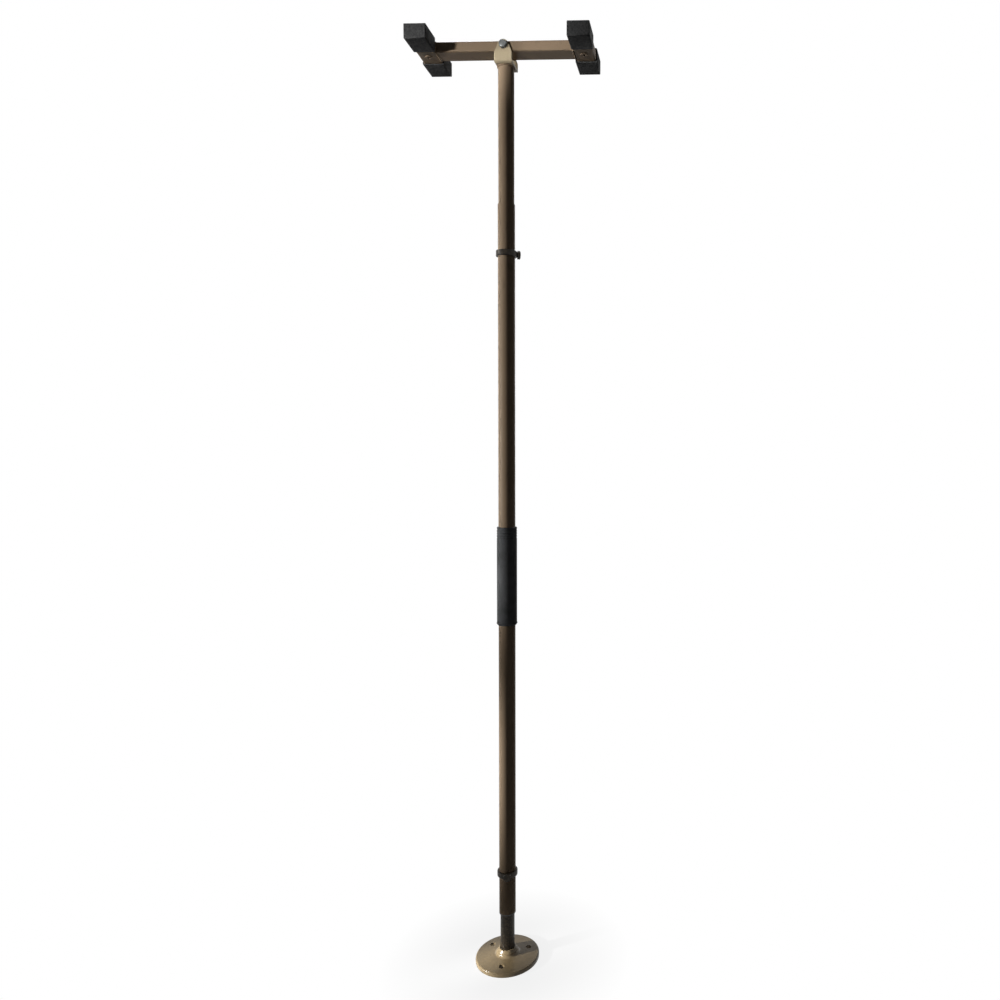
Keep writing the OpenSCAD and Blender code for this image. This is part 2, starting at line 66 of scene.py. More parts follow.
def makeCamera(view):
    data = bpy.data.cameras.new("photoCamera")
    data.lens = view["lens"]
    data.sensor_width = view["sensor"]
    data.shift_x = view["shiftX"]
    cam = bpy.data.objects.new("photoCamera", data)
    scene.collection.objects.link(cam)
    turn = Matrix.Rotation(math.radians(-view["yaw"]), 4, "Z")
    tip = Matrix.Rotation(math.radians(90 + view["pitch"]), 4, "X")
    roll = Matrix.Rotation(math.radians(-view["roll"]), 4, "Z")
    cam.matrix_world = Matrix.Translation(view["place"]) @ turn @ tip @ roll
    scene.camera = cam


makeCamera(cameraView)
print("camera set")


# Small helpers for node materials
class Finish:
    def __init__(self, name):
        self.material = bpy.data.materials.new(name)
        self.material.use_nodes = True
        self.tree = self.material.node_tree
        self.shader = self.tree.nodes["Principled BSDF"]
        self.place = self.add("ShaderNodeTexCoord").outputs["Object"]

    def add(self, kind, **settings):
        node = self.tree.nodes.new(kind)
        for key, value in settings.items():
            setattr(node, key, value)
        return node

    def link(self, output, socket):
        self.tree.links.new(output, socket)

    def feed(self, **outputs):
        for key, output in outputs.items():
            self.link(output, self.shader.inputs[key.replace("_", " ")])

    def set(self, **values):
        for key, value in values.items():
            self.shader.inputs[key.replace("_", " ")].default_value = value

    def noise(self, scale, detail=3.0, rough=0.5, stretch=(1, 1, 1)):
        mapping = self.add("ShaderNodeMapping")
        mapping.inputs["Scale"].default_value = stretch
        self.link(self.place, mapping.inputs["Vector"])
        node = self.add("ShaderNodeTexNoise")
        node.inputs["Scale"].default_value = scale
        node.inputs["Detail"].default_value = detail
        node.inputs["Roughness"].default_value = rough
        self.link(mapping.outputs["Vector"], node.inputs["Vector"])
        return node.outputs["Fac"]

    def cells(self, scale):
        node = self.add("ShaderNodeTexVoronoi")
        node.inputs["Scale"].default_value = scale
        self.link(self.place, node.inputs["Vector"])
        return node

    def spread(self, value, low, high, fromLow=0.3, fromHigh=0.7):
        node = self.add("ShaderNodeMapRange")
        node.inputs["From Min"].default_value = fromLow
        node.inputs["From Max"].default_value = fromHigh
        node.inputs["To Min"].default_value = low
        node.inputs["To Max"].default_value = high
        self.link(value, node.inputs["Value"])
        return node.outputs["Result"]

    def mixColour(self, factor, first, second):
        node = self.add("ShaderNodeMix", data_type="RGBA")
        self.link(factor, node.inputs["Factor"])
        for value, socket in ((first, node.inputs["A"]), (second, node.inputs["B"])):
            if isinstance(value, tuple):
                socket.default_value = (*value, 1)
            else:
                self.link(value, socket)
        return node.outputs["Result"]

    def bump(self, height, strength, distance, under=None):
        node = self.add("ShaderNodeBump")
        node.inputs["Strength"].default_value = strength
        node.inputs["Distance"].default_value = distance
        self.link(height, node.inputs["Height"])
        if under:
            self.link(under, node.inputs["Normal"])
        return node.outputs["Normal"]


# Bronze powder coat of the tubes, and the brighter paints of the bracket and the flange; the
# bracket's colours are partly painted sheen
bronzeCoat = {
    "name": "bronzeCoat",
    "light": (0.345, 0.254, 0.171),
    "dark": (0.22, 0.158, 0.103),
    "dull": (0.125, 0.091, 0.06),
    "flakeScale": 2600,
    "peelScale": 520,
    "cloudScale": 9,
    "cloudDepth": 0.35,
    "rough": (0.36, 0.48),
    "specular": 0.045,
}
# bracket paint: a lighter finish than the tubes, with its light and dark tones raised further as
# painted sheen that stands in for the reflection of a metallic paint
castPaint = {
    "name": "castPaint",
    "light": (0.57, 0.48, 0.322),
    "dark": (0.37, 0.3, 0.195),
    "dull": (0.19, 0.145, 0.094),
    "flakeScale": 1900,
    "peelScale": 330,
    "cloudScale": 26,
    "cloudDepth": 0.35,
    "rough": (0.3, 0.42),
    "specular": 0.12,
}
flangePaint = {
    "name": "flangePaint",
    "light": (0.35, 0.264, 0.147),
    "dark": (0.175, 0.127, 0.067),
    "dull": (0.09, 0.062, 0.034),
    "flakeScale": 1900,
    "peelScale": 330,
    "cloudScale": 24,
    "cloudDepth": 0.7,
    "rough": (0.26, 0.38),
    "specular": 0.3,
}
coatWear = {
    "markScale": 38,
    "markStretch": (1, 1, 0.35),
    "markDepth": 0.55,
    "markRange": (0.6, 0.75),
    "flakeRange": (0.1, 0.9),
    "peelBump": (0.18, 0.0004),  # strength, depth in metres
    "flakeBump": (0.12, 0.0001),
}


def makeBronze(coat, wear):
    f = Finish(coat["name"])
    flake = f.cells(coat["flakeScale"])
    cloud = f.noise(coat["cloudScale"], detail=4)
    sparkle = f.spread(flake.outputs["Color"], 0, 1, *wear["flakeRange"])
    tone = f.mixColour(sparkle, coat["dark"], coat["light"])
    scuffs = f.noise(wear["markScale"], detail=5, rough=0.62, stretch=wear["markStretch"])
    marks = f.spread(scuffs, 0, wear["markDepth"], *wear["markRange"])
    tone = f.mixColour(marks, tone, coat["dull"])
    tone = f.mixColour(f.spread(cloud, 0, coat["cloudDepth"]), tone, coat["dark"])
    peel = f.bump(f.noise(coat["peelScale"], detail=2), *wear["peelBump"])
    grain = f.bump(flake.outputs["Distance"], *wear["flakeBump"], peel)
    f.feed(Base_Color=tone, Roughness=f.spread(cloud, *coat["rough"]), Normal=grain)
    f.set(Specular_IOR_Level=coat["specular"])
    return f.material


# Zinc plate on fasteners: cool, faintly blue and cloudy
zincPlate = {
    "bright": (0.21, 0.216, 0.21),
    "blue": (0.1, 0.112, 0.118),
    "cloudScale": 90,
    "smearScale": 230,
    "rough": (0.16, 0.27),
    "grainScale": 900,
    "grainBump": (0.12, 0.0002),
    "metallic": 0.9,
}


def makeZinc(plate):
    f = Finish("zincPlate")
    cloud = f.spread(f.noise(plate["cloudScale"], detail=5), 0, 1)
    f.feed(
        Base_Color=f.mixColour(cloud, plate["bright"], plate["blue"]),
        Roughness=f.spread(f.noise(plate["smearScale"], detail=4), *plate["rough"]),
        Normal=f.bump(f.noise(plate["grainScale"]), *plate["grainBump"]),
    )
    f.set(Metallic=plate["metallic"])
    return f.material


# Brown-black oxide on the foot tube, the jack nut, the collars and the lock screws
blackSteel = {
    "deep": (0.013, 0.01, 0.006),
    "rubbed": (0.078, 0.057, 0.036),
    "rubScale": 240,
    "rubRange": (0.45, 0.75),
    "rough": (0.5, 0.34),
    "grainScale": 1100,
    "grainBump": (0.15, 0.0002),
    "metallic": 0.1,
    "specular": 0.2,
}


def makeBlackSteel(steel):
    f = Finish("blackSteel")
    rub = f.noise(steel["rubScale"], detail=6, rough=0.6)
    bare = f.spread(rub, 0, 1, *steel["rubRange"])
    f.feed(
        Base_Color=f.mixColour(bare, steel["deep"], steel["rubbed"]),
        Roughness=f.spread(rub, *steel["rough"]),
        Normal=f.bump(f.noise(steel["grainScale"]), *steel["grainBump"]),
    )
    f.set(Metallic=steel["metallic"], Specular_IOR_Level=steel["specular"])
    return f.material


# Moulded rubber of the ceiling caps and the floor pad: grey bloom and a fine grain
capRubber = {
    "deep": (0.032, 0.032, 0.033),
    "bloom": (0.085, 0.085, 0.083),
    "bloomScale": 190,
    "bloomRange": (0.36, 0.74),
    "smearScale": 90,
    "rough": (0.58, 0.76),
    "grainScale": 1500,
    "grainBump": (0.3, 0.00025),
    "waveScale": 45,
    "waveBump": (0.1, 0.0008),
    "specular": 0.03,
}


def makeRubber(rubber):
    f = Finish("capRubber")
    dust = f.noise(rubber["bloomScale"], detail=7, rough=0.72)
    bloom = f.spread(dust, 0, 1, *rubber["bloomRange"])
    grain = f.bump(f.cells(rubber["grainScale"]).outputs["Distance"], *rubber["grainBump"])
    f.feed(
        Base_Color=f.mixColour(bloom, rubber["deep"], rubber["bloom"]),
        Roughness=f.spread(f.noise(rubber["smearScale"], detail=4), *rubber["rough"]),
        Normal=f.bump(f.noise(rubber["waveScale"]), *rubber["waveBump"], grain),
    )
    f.set(Specular_IOR_Level=rubber["specular"])
    return f.material


# Foam rubber of the hand grip: closed skin with small pores
gripFoam = {
    "deep": (0.066, 0.067, 0.068),
    "worn": (0.118, 0.12, 0.123),
    "wornScale": 30,
    "wornStretch": (1, 1, 0.5),
    "wornRange": (0.4, 0.75),
    "smearScale": 140,
    "rough": (0.62, 0.8),
    "poreScale": 1100,
    "poreBump": (0.45, 0.0005),
    "skinScale": 3200,
    "skinBump": (0.25, 0.0002),
    "specular": 0.06,
}


def makeGripFoam(foam):
    f = Finish("gripFoam")
    handled = f.noise(foam["wornScale"], detail=5, rough=0.6, stretch=foam["wornStretch"])
    worn = f.spread(handled, 0, 1, *foam["wornRange"])
    pores = f.bump(f.cells(foam["poreScale"]).outputs["Distance"], *foam["poreBump"])
    f.feed(
        Base_Color=f.mixColour(worn, foam["deep"], foam["worn"]),
        Roughness=f.spread(f.noise(foam["smearScale"], detail=4), *foam["rough"]),
        Normal=f.bump(f.noise(foam["skinScale"], detail=2), *foam["skinBump"], pores),
    )
    f.set(Specular_IOR_Level=foam["specular"])
    return f.material


# Black nylon of the bushes, and machined brass of the thrust washer
nylonBush = {
    "deep": (0.016, 0.016, 0.017),
    "pale": (0.035, 0.035, 0.037),
    "cloudScale": 120,
    "smearScale": 300,
    "rough": (0.42, 0.58),
    "grainScale": 1400,
    "grainBump": (0.15, 0.0002),
}
brassWasher = {
    "deep": (0.5, 0.36, 0.13),
    "bright": (0.72, 0.56, 0.27),
    "turnScale": 400,
    "turnStretch": (0.2, 0.2, 4),
    "rough": (0.25, 0.42),
    "turnBump": (0.2, 0.0001),
}


def makeNylon(nylon):
    f = Finish("nylonBush")
    cloud = f.spread(f.noise(nylon["cloudScale"], detail=4), 0, 1)
    f.feed(
        Base_Color=f.mixColour(cloud, nylon["deep"], nylon["pale"]),
        Roughness=f.spread(f.noise(nylon["smearScale"]), *nylon["rough"]),
        Normal=f.bump(f.noise(nylon["grainScale"], detail=2), *nylon["grainBump"]),
    )
    return f.material


def makeBrass(brass):
    f = Finish("brassWasher")
    turned = f.noise(brass["turnScale"], detail=4, rough=0.6, stretch=brass["turnStretch"])
    f.feed(
        Base_Color=f.mixColour(f.spread(turned, 0, 1), brass["deep"], brass["bright"]),
        Roughness=f.spread(turned, *brass["rough"]),
        Normal=f.bump(turned, *brass["turnBump"]),
    )
    f.set(Metallic=1.0)
    return f.material


bronze = makeBronze(bronzeCoat, coatWear)
cast = makeBronze(castPaint, coatWear)
flange = makeBronze(flangePaint, coatWear)
zinc = makeZinc(zincPlate)
steel = makeBlackSteel(blackSteel)
rubber = makeRubber(capRubber)
slotFinish = {
    "bronze_coat": bronze,
    "cast_bronze": cast,
    "zinc_plate": zinc,
    "dark_steel": steel,
    "rubber": rubber,
    "grip_rubber": makeGripFoam(gripFoam),
    "nylon": makeNylon(nylonBush),
    "brass": makeBrass(brassWasher),
}
nodeSlot = {part["node"]: part["material_slot"] for part in record["subparts"]}
for name, slot in nodeSlot.items():
    data = nodes[name].data
    data.materials.clear()
    data.materials.append(flange if name == "base_plate" else slotFinish[slot])
print("finishes on", len(nodes), "nodes")


# Geometry Nodes trees: a ridge that winds up a screw, and a bead that follows a seam
def newTree(name, sizes):
    tree = bpy.data.node_groups.new(name, "GeometryNodeTree")
    tree.interface.new_socket("Geometry", in_out="INPUT", socket_type="NodeSocketGeometry")
    for size in sizes:
        tree.interface.new_socket(size, in_out="INPUT", socket_type="NodeSocketFloat")
    tree.interface.new_socket("Finish", in_out="INPUT", socket_type="NodeSocketMaterial")
    tree.interface.new_socket("Geometry", in_out="OUTPUT", socket_type="NodeSocketGeometry")
    return tree, tree.nodes.new("NodeGroupInput").outputs


def treeNode(tree, kind, wires, **settings):
    node = tree.nodes.new(kind)
    for key, value in settings.items():
        setattr(node, key, value)
    for name, value in wires.items():
        if isinstance(value, bpy.types.NodeSocket):
            tree.links.new(value, node.inputs[name])
        else:
            node.inputs[name].default_value = value
    return node


def treeMath(tree, operation, *values):
    return treeNode(tree, "ShaderNodeMath", dict(enumerate(values)), operation=operation).outputs[0]


def endTree(tree, shape, finish):
    real = treeNode(tree, "GeometryNodeRealizeInstances", {"Geometry": shape})
    smooth = treeNode(tree, "GeometryNodeSetShadeSmooth", {"Geometry": real.outputs["Geometry"]})
    last = treeNode(tree, "GeometryNodeSetMaterial", {
        "Geometry": smooth.outputs["Geometry"], "Material": finish,
    })
    out = tree.nodes.new("NodeGroupOutput")
    tree.links.new(last.outputs["Geometry"], out.inputs["Geometry"])


ridgeShape = {"perTurn": 40, "corners": 4, "endScale": 0.08}
beadShape = {"segments": 12, "rings": 7, "sizes": (0.88, 1.06), "seed": 7}


def makeThreadTree(shape):
    sizes = ["Core Radius", "Ridge Height", "Ridge Width", "Pitch", "Length"]
    tree, given = newTree("threadTree", sizes)
    turns = treeMath(tree, "DIVIDE", given["Length"], given["Pitch"])
    path = treeNode(tree, "GeometryNodeCurveSpiral", {
        "Resolution": shape["perTurn"], "Rotations": turns, "Start Radius": given["Core Radius"],
        "End Radius": given["Core Radius"], "Height": given["Length"],
    })
    level = treeNode(tree, "GeometryNodeSetCurveNormal", {
        "Curve": path.outputs["Curve"],
    }, mode="Z_UP")
    ring = treeNode(tree, "GeometryNodeCurvePrimitiveCircle", {
        "Resolution": shape["corners"], "Radius": 1.0,
    })
    scale = treeNode(tree, "ShaderNodeCombineXYZ", {
        "X": given["Ridge Height"], "Y": given["Ridge Width"], "Z": 1.0,
    })
    diamond = treeNode(tree, "GeometryNodeTransform", {
        "Geometry": ring.outputs["Curve"], "Scale": scale.outputs["Vector"],
    })
    # the ridge runs out over one turn at each end
    along = treeNode(tree, "GeometryNodeSplineParameter", {}).outputs["Factor"]
    fromEnd = treeMath(tree, "PINGPONG", along, 0.5)
    rise = treeMath(tree, "MULTIPLY_ADD", fromEnd, turns, shape["endScale"])
    ridge = treeNode(tree, "GeometryNodeCurveToMesh", {
        "Curve": level.outputs["Curve"], "Profile Curve": diamond.outputs["Geometry"],
        "Scale": treeMath(tree, "MINIMUM", rise, 1.0), "Fill Caps": True,
    })
    endTree(tree, ridge.outputs["Mesh"], given["Finish"])
    return tree


def makeBeadTree(shape):
    tree, given = newTree("beadTree", ["Bead", "Step", "Flat"])
    path = treeNode(tree, "GeometryNodeMeshToCurve", {"Mesh": given["Geometry"]})
    even = treeNode(tree, "GeometryNodeResampleCurve", {
        "Curve": path.outputs["Curve"], "Length": given["Step"],
    }, mode="LENGTH")
    along = treeNode(tree, "GeometryNodeInputTangent", {})
    turn = treeNode(tree, "FunctionNodeAlignRotationToVector", {
        "Vector": along.outputs["Tangent"],
    }, axis="Z")
    ripple = treeNode(tree, "GeometryNodeMeshUVSphere", {
        "Segments": shape["segments"], "Rings": shape["rings"], "Radius": 1.0,
    })
    size = treeNode(tree, "FunctionNodeRandomValue", {"Seed": shape["seed"]}, data_type="FLOAT")
    low, high = [i for i in size.inputs if i.name in ("Min", "Max") and i.type == "VALUE"][:2]
    low.default_value, high.default_value = shape["sizes"]
    drawn = [o for o in size.outputs if o.type == "VALUE"][0]
    thick = treeMath(tree, "MULTIPLY", given["Bead"], drawn)
    deep = treeMath(tree, "MULTIPLY", given["Bead"], given["Flat"])
    scale = treeNode(tree, "ShaderNodeCombineXYZ", {"X": thick, "Y": thick, "Z": deep})
    beads = treeNode(tree, "GeometryNodeInstanceOnPoints", {
        "Points": even.outputs["Curve"], "Instance": ripple.outputs["Mesh"],
        "Rotation": turn.outputs["Rotation"], "Scale": scale.outputs["Vector"],
    })
    endTree(tree, beads.outputs["Instances"], given["Finish"])
    return tree


def plainMesh(item):
    # the finished mesh of an object whose modifiers are live, which is then removed
    depsgraph = bpy.context.evaluated_depsgraph_get()
    made = bpy.data.meshes.new_from_object(item.evaluated_get(depsgraph))
    bpy.data.objects.remove(item)
    return made


def runTree(name, tree, values, points=None):
    mesh = bpy.data.meshes.new(name + "Path")
    if points:
        count = len(points)
        mesh.from_pydata(points, [(i, (i + 1) % count) for i in range(count)], [])
    item = bpy.data.objects.new(name + "Path", mesh)
    scene.collection.objects.link(item)
    build = item.modifiers.new("build", "NODES")
    build.node_group = tree
    for socket in tree.interface.items_tree:
        if socket.in_out == "INPUT" and socket.name in values:
            build[socket.identifier] = values[socket.name]
    return plainMesh(item)


threadTree = makeThreadTree(ridgeShape)
beadTree = makeBeadTree(beadShape)


# Turned and hexagonal solids
def ringPoints(radius, count):
    turns = [2 * math.pi * i / count for i in range(count)]
    return [(radius * math.cos(t), radius * math.sin(t)) for t in turns]


def finishMesh(name, bm):
    bmesh.ops.recalc_face_normals(bm, faces=bm.faces)
    mesh = bpy.data.meshes.new(name)
    bm.to_mesh(mesh)
    bm.free()
    return mesh


def lathe(points, count):
    bm = bmesh.new()
    rings = []
    for radius, z in points:
        if radius == 0:
            rings.append([bm.verts.new((0, 0, z))])
        else:
            rings.append([bm.verts.new((x, y, z)) for x, y in ringPoints(radius, count)])
    for low, high in zip(rings, rings[1:]):
        for i in range(count):
            j = (i + 1) % count
            loop = [low[i % len(low)], low[j % len(low)], high[j % len(high)], high[i % len(high)]]
            bm.faces.new(list(dict.fromkeys(loop)))
    return finishMesh("turned", bm)


def hexHead(head, perSide=12, rows=5):
    half, height = head["flats"] / 2, head["height"]
    crown = half * head["crownShare"]
    depth = (half / math.cos(math.pi / 6) - crown) * head["bevelRise"]
    levels = [0.0] + [height - depth * (1 - k / rows) for k in range(rows + 1)]
    bm = bmesh.new()
    rings = []
    for z in levels:
        ring = []
        for i in range(6 * perSide):
            turn = 2 * math.pi * i / (6 * perSide)
            flat = half / math.cos(turn % (math.pi / 3) - math.pi / 6)
            radius = min(flat, crown + (height - z) / head["bevelRise"])
            ring.append(bm.verts.new((radius * math.cos(turn), radius * math.sin(turn), z)))
        rings.append(ring)
    for low, high in zip(rings, rings[1:]):
        for i in range(len(low)):
            j = (i + 1) % len(low)
            bm.faces.new((low[i], low[j], high[j], high[i]))
    bm.faces.new(rings[-1])
    bm.faces.new(rings[0][::-1])
    return finishMesh("hexHead", bm)


def makeRidge(name, screw, length, finish):
    return runTree(name, threadTree, {
        "Core Radius": screw["radius"] - screw["ridge"],
        "Ridge Height": screw["ridge"],
        "Ridge Width": screw["pitch"] * screw["ridgeShare"],
        "Pitch": screw["pitch"],
        "Length": length,
        "Finish": finish,
    })


def joinMeshes(name, parts, place, finish, sharpBend=34):
    bm = bmesh.new()
    for part, shift in parts:
        part.transform(Matrix.Translation(shift))
        bm.from_mesh(part)
        bpy.data.meshes.remove(part)
    bm.transform(place)
    mesh = bpy.data.meshes.new(name)
    bm.to_mesh(mesh)
    bm.free()
    mesh.materials.clear()
    mesh.materials.append(finish)
    mesh.polygons.foreach_set("material_index", [0] * len(mesh.polygons))
    mesh.shade_smooth()
    mesh.set_sharp_from_angle(angle=math.radians(sharpBend))
    return mesh


def addPiece(name, mesh, body, slot, *replaced):
    piece = bpy.data.objects.new(name, mesh)
    scene.collection.objects.link(piece)
    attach(piece, body)
    if replaced:
        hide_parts(*replaced)


def pieceName(node, ending):
    first, *others = node.split("_")
    return first + "".join(word.capitalize() for word in others) + ending


def standing(axis, place):
    # turns a piece that stands on +Z to lie along an axis
    return Matrix.Translation(place) @ Vector(axis).to_track_quat("Z", "Y").to_matrix().to_4x4()


# Jack stud: trapezoidal thread that shows when the jack is wound up
jackThread = {
    "radius": 0.01, "ridge": 0.0018, "ridgeShare": 0.34, "pitch": 0.004,
    "spigot": 0.00745, "shoulder": 0.009, "bevel": 0.002, "sides": 64,
}


def makeJackThread(stud):
    low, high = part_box("jack_stud")
    length = high[2] - low[2]
    core, shoulder, bevel = stud["radius"] - stud["ridge"], stud["shoulder"], stud["bevel"]
    body = lathe([
        (0, 0), (stud["spigot"], 0), (stud["spigot"], shoulder), (stud["radius"], shoulder),
        (stud["radius"], shoulder + bevel), (core, shoulder + bevel),
        (core, length - bevel / 2), (core - bevel / 2, length), (0, length),
    ], stud["sides"])
    start = shoulder + stud["pitch"]
    ridge = makeRidge("jackRidge", stud, length - start - stud["pitch"], zinc)
    parts = [(body, (0, 0, 0)), (ridge, (0, 0, start))]
    mesh = joinMeshes("jackThread", parts, Matrix.Translation((0, 0, low[2])), zinc)
    addPiece("jackThread", mesh, "base", "zinc_plate", "jack_stud")


makeJackThread(jackThread)


# Lock screws: bevelled hex head on a threaded shank
lockScrew = {
    "flats": 0.019, "height": 0.008, "crownShare": 0.95, "bevelRise": 0.577,  # 30 degree bevel
    "radius": 0.005, "ridge": 0.0008, "ridgeShare": 0.4, "pitch": 0.0015,
    "headIn": 0.0276, "bevel": 0.0006, "sides": 40,
}
lockTips = {"lower": 0.02095, "upper": 0.0223}  # tip of each screw, from the pole's axis


def makeLockScrew(side, screw):
    joints = {j["name"]: j for j in record["behaviour"]["joints"]}
    axis = joints[side + "_lock_travel"]["axis"]
    height = joints[side + "_lock_turn"]["pos_m"][2]
    tip, headIn, bevel = lockTips[side], screw["headIn"], screw["bevel"]
    core = screw["radius"] - screw["ridge"]
    shank = lathe([
        (0, tip), (core - bevel, tip), (core, tip + bevel), (core, headIn), (0, headIn),
    ], screw["sides"])
    ridge = makeRidge("lockRidge", screw, headIn - tip - screw["pitch"], steel)
    head = hexHead(screw)
    head.transform(Matrix.Rotation(math.pi / 6, 4, "Z"))
    parts = [(shank, (0, 0, 0)), (ridge, (0, 0, tip + screw["pitch"] / 2)), (head, (0, 0, headIn))]
    mesh = joinMeshes(side + "LockScrew", parts, standing(axis, (0, 0, height)), steel)
    addPiece(side + "LockScrew", mesh, side + "_lock", "dark_steel", side + "_lock_screw")


for side in lockTips:
    makeLockScrew(side, lockScrew)


# Pivot bolt through the bracket's ears: hex head in front, thread past the nut behind
pivotBolt = {
    "flats": 0.017, "height": 0.0064, "crownShare": 0.94, "bevelRise": 0.577,
    "radius": 0.005, "ridge": 0.0008, "ridgeShare": 0.4, "pitch": 0.0015,
    "thread": 0.02, "bevel": 0.001, "sides": 48,
}


def makePivotBolt(bolt):
    low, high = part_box("pivot_bolt")
    middle = (low[2] + high[2]) / 2
    length = high[1] - low[1]
    radius, height, bevel = bolt["radius"], bolt["height"], bolt["bevel"]
    core = radius - bolt["ridge"]
    plain = length - bolt["thread"]
    shank = lathe([
        (0, height), (radius, height), (radius, plain), (core, plain + bolt["ridge"]),
        (core, length - bevel), (core - bevel, length), (0, length),
    ], bolt["sides"])
    ridge = makeRidge("pivotRidge", bolt, bolt["thread"] - 2 * bolt["pitch"], zinc)
    head = hexHead(bolt)
    head.transform(Matrix.Translation((0, 0, height)) @ Matrix.Rotation(math.pi, 4, "X"))
    parts = [(shank, (0, 0, 0)), (ridge, (0, 0, plain + bolt["pitch"] / 2)), (head, (0, 0, 0))]
    mesh = joinMeshes("pivotBolt", parts, standing((0, 1, 0), (0, low[1], middle)), zinc)
    addPiece("pivotBolt", mesh, "upper", "zinc_plate", "pivot_bolt")


makePivotBolt(pivotBolt)


# Weld beads, under the coat: round the bar's two ends, and round the upper tube under the bracket
barWeld = {
    "bead": 0.0021, "step": 0.0019, "flat": 0.85,
    "corner": 0.004, "inset": 0.0004, "cornerPoints": 5,
}
tubeWeld = {
    "bead": 0.0021, "step": 0.0019, "flat": 0.85,
    "drop": 0.0006, "out": 0.0006, "points": 72,
}


def roundedLoop(halfWide, halfHigh, corner, perCorner):
    loop = []
    for k, (sideY, sideZ) in enumerate(((1, 1), (-1, 1), (-1, -1), (1, -1))):
        for i in range(perCorner + 1):
            turn = math.pi / 2 * (k + i / perCorner)
            loop.append((
                sideY * (halfWide - corner) + corner * math.cos(turn),
                sideZ * (halfHigh - corner) + corner * math.sin(turn),
            ))
    return loop


def layBead(name, weld, ring):
    sizes = {"Bead": weld["bead"], "Step": weld["step"], "Flat": weld["flat"], "Finish": bronze}
    return runTree(name, beadTree, sizes, ring), (0, 0, 0)


def makeBarWelds(weld):
    low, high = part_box("ceiling_bar")
    wide, tall = (high[1] - low[1]) / 2, (high[2] - low[2]) / 2
    middle = (low[2] + high[2]) / 2
    inset = weld["inset"]
    loop = roundedLoop(wide + inset, tall - inset, weld["corner"], weld["cornerPoints"])
    parts = []
    for x in (low[0] + inset, high[0] - inset):
        parts.append(layBead("barBead", weld, [(x, y, middle + z) for y, z in loop]))
    mesh = joinMeshes("barWelds", parts, Matrix.Identity(4), bronze)
    addPiece("barWelds", mesh, "ceiling_head", "bronze_coat")


def makeTubeWeld(weld):
    low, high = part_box("upper_tube")
    radius = (high[0] - low[0]) / 2 + weld["out"]
    ring = [(x, y, high[2] - weld["drop"]) for x, y in ringPoints(radius, weld["points"])]
    mesh = joinMeshes("tubeWeld", [layBead("tubeBead", weld, ring)], Matrix.Identity(4), bronze)
    addPiece("tubeWeld", mesh, "upper", "bronze_coat")


makeBarWelds(barWeld)
makeTubeWeld(tubeWeld)
print("threads, screws and welds made")


# Turned pieces: the solid's own faces, with the crease along its seam on +X smoothed out
turnedPieces = {
    "names": [
        "base_plate", "foot_tube", "jack_nut", "lower_tube", "middle_tube", "grip", "lower_collar",
        "upper_collar", "foot_guide_bush", "upper_tube",
    ],
    "spotsPerMetre": 1e6,  # corners that fall on the same spot are merged
    "seamWidth": 0.00002,
    "sameBend": 20,
}


def closeSeam(name, turned):
    solid = nodes[name].data
    spots, places, faces, normals, seam = {}, [], [], [], {}
    for face in solid.polygons:
        corners = []
        for i in face.loop_indices:
            place = solid.vertices[solid.loops[i].vertex_index].co
            key = tuple(round(c * turned["spotsPerMetre"]) for c in place)
            if key not in spots:
                spots[key] = len(places)
                places.append(place.copy())
            corners.append((spots[key], solid.corner_normals[i].vector.copy()))
        if len({spot for spot, normal in corners}) < 3:
            continue
        faces.append([spot for spot, normal in corners])
        for spot, normal in corners:
            if places[spot].x > 0 and abs(places[spot].y) < turned["seamWidth"]:
                seam.setdefault(spot, []).append(len(normals))
            normals.append(normal)
    near = math.cos(math.radians(turned["sameBend"]))
    smooth = list(normals)
    for loops in seam.values():
        for i in loops:
            alike = [normals[j] for j in loops if normals[i].dot(normals[j]) > near]
            # normals that agree to three places count once
            kinds = {tuple(round(c, 3) for c in normal) for normal in alike}
            smooth[i] = sum((Vector(k) for k in kinds), Vector()).normalized()
    skin = pieceName(name, "Skin")
    mesh = bpy.data.meshes.new(skin)
    mesh.from_pydata(places, [], faces)
    mesh.materials.append(solid.materials[0])
    mesh.shade_smooth()
    mesh.normals_split_custom_set(smooth)
    body = [b for b, held in record["behaviour"]["bodies"].items() if name in held][0]
    addPiece(skin, mesh, body, nodeSlot[name], name)


for name in turnedPieces["names"]:
    closeSeam(name, turnedPieces)
print("seams closed on", len(turnedPieces["names"]), "turned pieces")


# Ceiling caps: the solid's own faces, with the edges rounded over as moulded rubber has them
capMould = {
    "names": ["left_front_cap", "left_rear_cap", "right_front_cap", "right_rear_cap"],
    "round": 0.0016,
    "steps": 3,
    "sharpFrom": 75,
    "flatBelow": 0.5,
    "merge": 0.000001,
}


def mouldCap(name, mould):
    bm = bmesh.new()
    bm.from_mesh(nodes[name].data)
    bmesh.ops.remove_doubles(bm, verts=bm.verts, dist=mould["merge"])
    bmesh.ops.dissolve_limit(
        bm, angle_limit=math.radians(mould["flatBelow"]), verts=bm.verts, edges=bm.edges,
    )
    mesh = bpy.data.meshes.new("plainCap")
    bm.to_mesh(mesh)
    bm.free()
    mesh.materials.clear()
    mesh.materials.append(rubber)
    mesh.shade_smooth()
    item = bpy.data.objects.new("plainCap", mesh)
    scene.collection.objects.link(item)
    over = item.modifiers.new("roundOver", "BEVEL")
    over.limit_method = "ANGLE"
    over.angle_limit = math.radians(mould["sharpFrom"])
    over.width, over.segments = mould["round"], mould["steps"]
    over.harden_normals = True
    moulded = pieceName(name, "Mould")
    made = plainMesh(item)
    made.name = moulded
    addPiece(moulded, made, "ceiling_head", "rubber", name)


for name in capMould["names"]:
    mouldCap(name, capMould)
print("caps moulded")


